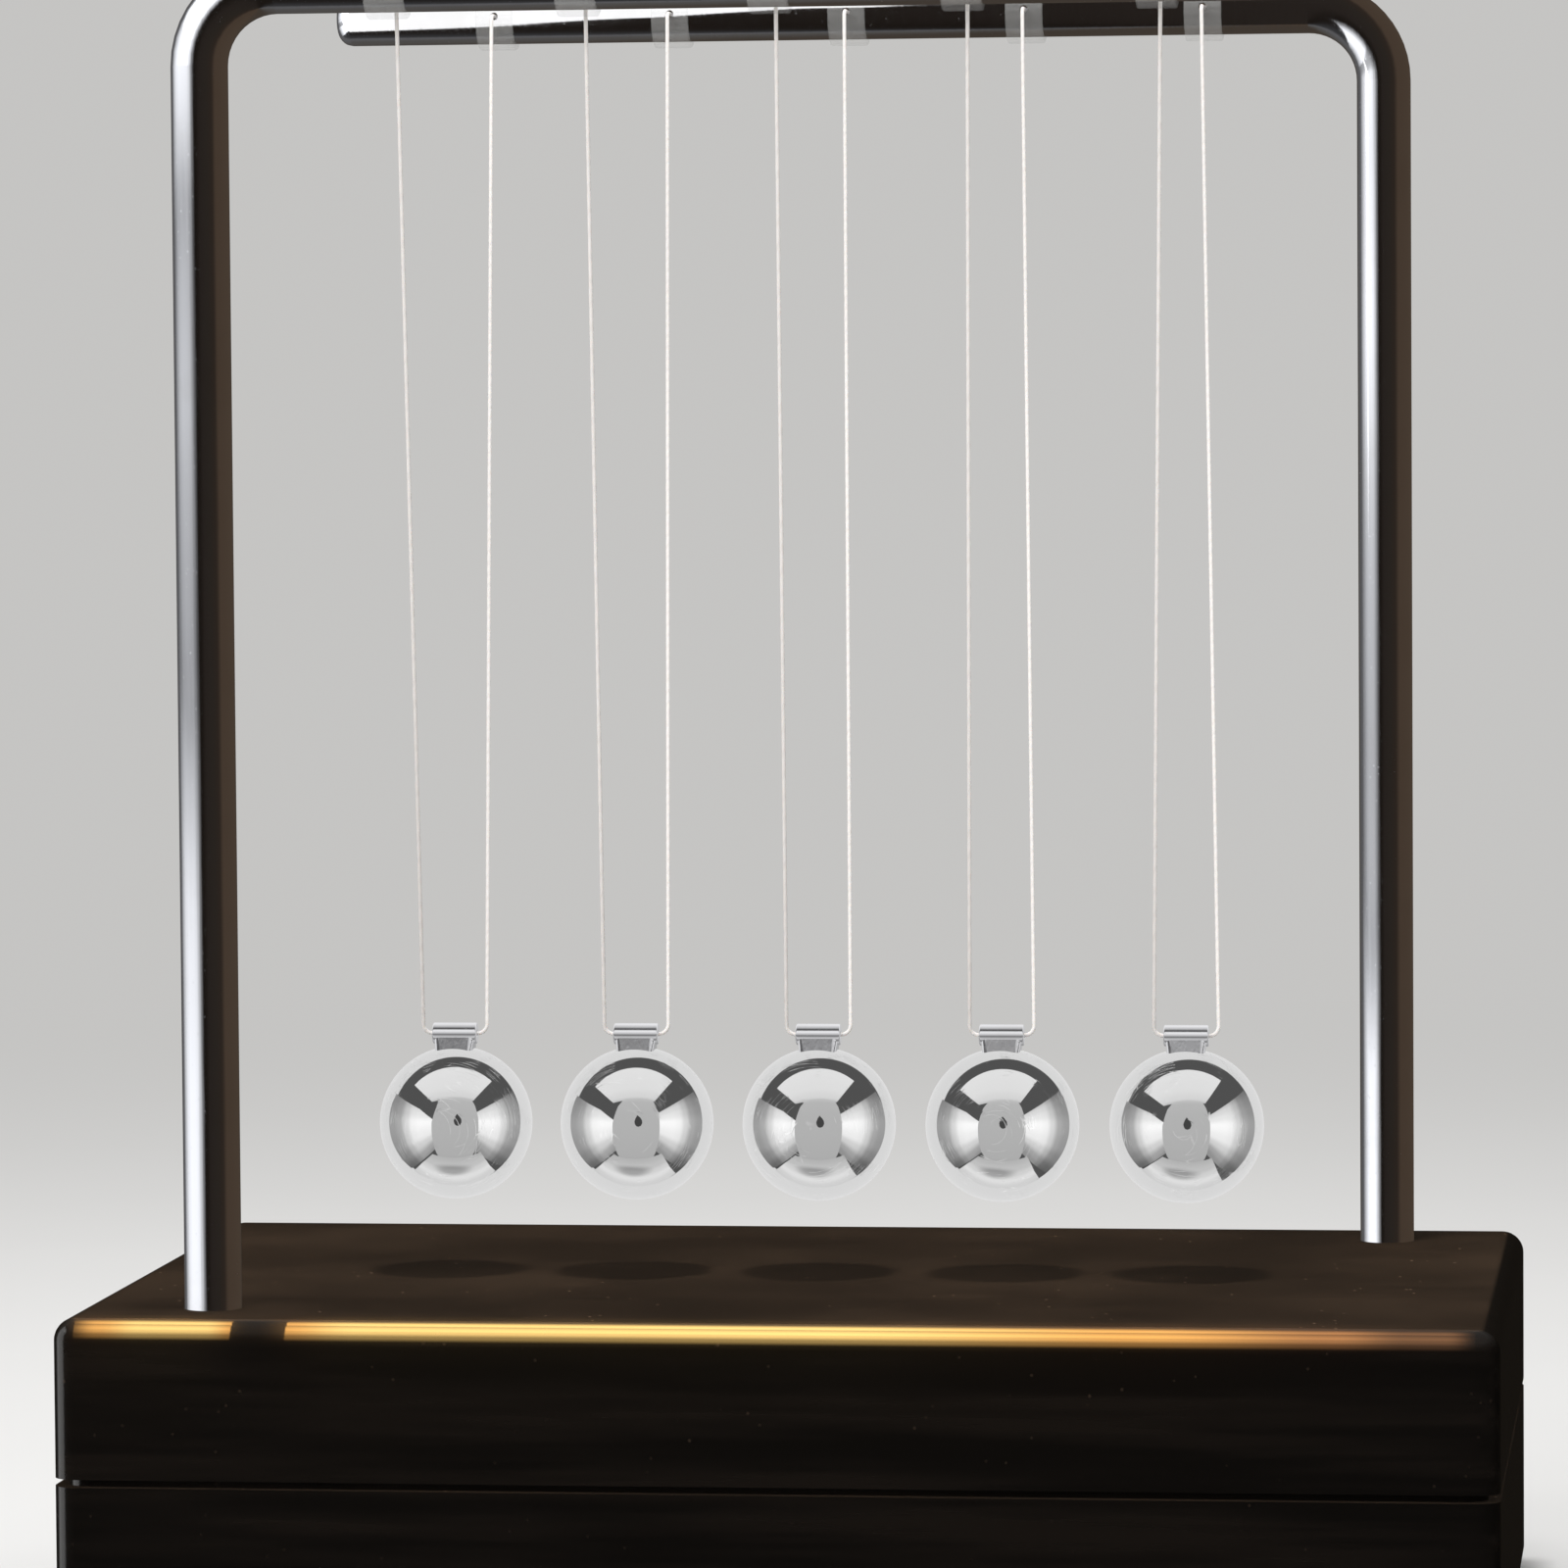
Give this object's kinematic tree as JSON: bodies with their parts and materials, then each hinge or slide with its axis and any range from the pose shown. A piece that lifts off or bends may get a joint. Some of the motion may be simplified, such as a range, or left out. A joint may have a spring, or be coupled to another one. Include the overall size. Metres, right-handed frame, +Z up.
{
  "type": "newtons cradle",
  "caption": "Desk cradle: a row of polished steel balls, each hung on one string from two cane-shaped chrome rods on a dark wooden base.",
  "frame": {"origin": "on the table, under the middle of the base", "axes": "+X along the row of balls, +Y away from the front, +Z up"},
  "size_m": [0.18, 0.112, 0.2164],
  "materials": {
    "dark_wood": "gloss lacquer",
    "hardboard": "matt",
    "chromed_steel": "polished",
    "steel_ball": "mirror polished",
    "zinc_steel": "zinc plated",
    "rubber": "matt",
    "clear_plastic": "clear",
    "nylon": "satin"
  },
  "bodies": {
    "stand": {"base_slab": "dark_wood", "lower_block": "dark_wood", "bottom_cover": "hardboard", "foot_front_left": "rubber", "foot_front_right": "rubber", "foot_back_left": "rubber", "foot_back_right": "rubber", "front_rod": "chromed_steel", "back_rod": "chromed_steel", "front_rod_key_plate": "zinc_steel", "back_rod_key_plate": "zinc_steel", "front_rod_washer": "zinc_steel", "back_rod_washer": "zinc_steel", "front_rod_nut": "zinc_steel", "back_rod_nut": "zinc_steel", "slab_screws": "zinc_steel", "key_plate_screws": "zinc_steel", "cover_screws": "zinc_steel", "front_sleeve_1": "clear_plastic", "back_sleeve_1": "clear_plastic", "front_sleeve_2": "clear_plastic", "back_sleeve_2": "clear_plastic", "front_sleeve_3": "clear_plastic", "back_sleeve_3": "clear_plastic", "front_sleeve_4": "clear_plastic", "back_sleeve_4": "clear_plastic", "front_sleeve_5": "clear_plastic", "back_sleeve_5": "clear_plastic"},
    "pendulum_1": {"ball_1": "steel_ball", "bail_1": "chromed_steel", "string_1": "nylon"},
    "pendulum_2": {"ball_2": "steel_ball", "bail_2": "chromed_steel", "string_2": "nylon"},
    "pendulum_3": {"ball_3": "steel_ball", "bail_3": "chromed_steel", "string_3": "nylon"},
    "pendulum_4": {"ball_4": "steel_ball", "bail_4": "chromed_steel", "string_4": "nylon"},
    "pendulum_5": {"ball_5": "steel_ball", "bail_5": "chromed_steel", "string_5": "nylon"}
  },
  "joints": [
    {"name": "swing_1", "type": "hinge", "parent": "stand", "child": "pendulum_1", "pos_m": [-0.048, 0, 0.212], "axis": [0, 1, 0], "range_deg": [-1.5, 50]},
    {"name": "swing_2", "type": "hinge", "parent": "stand", "child": "pendulum_2", "pos_m": [-0.024, 0, 0.212], "axis": [0, 1, 0], "range_deg": [-1.5, 1.5]},
    {"name": "swing_3", "type": "hinge", "parent": "stand", "child": "pendulum_3", "pos_m": [0, 0, 0.212], "axis": [0, 1, 0], "range_deg": [-1.5, 1.5]},
    {"name": "swing_4", "type": "hinge", "parent": "stand", "child": "pendulum_4", "pos_m": [0.024, 0, 0.212], "axis": [0, 1, 0], "range_deg": [-1.5, 1.5]},
    {"name": "swing_5", "type": "hinge", "parent": "stand", "child": "pendulum_5", "pos_m": [0.048, 0, 0.212], "axis": [0, 1, 0], "range_deg": [-50, 1.5]}
  ]
}
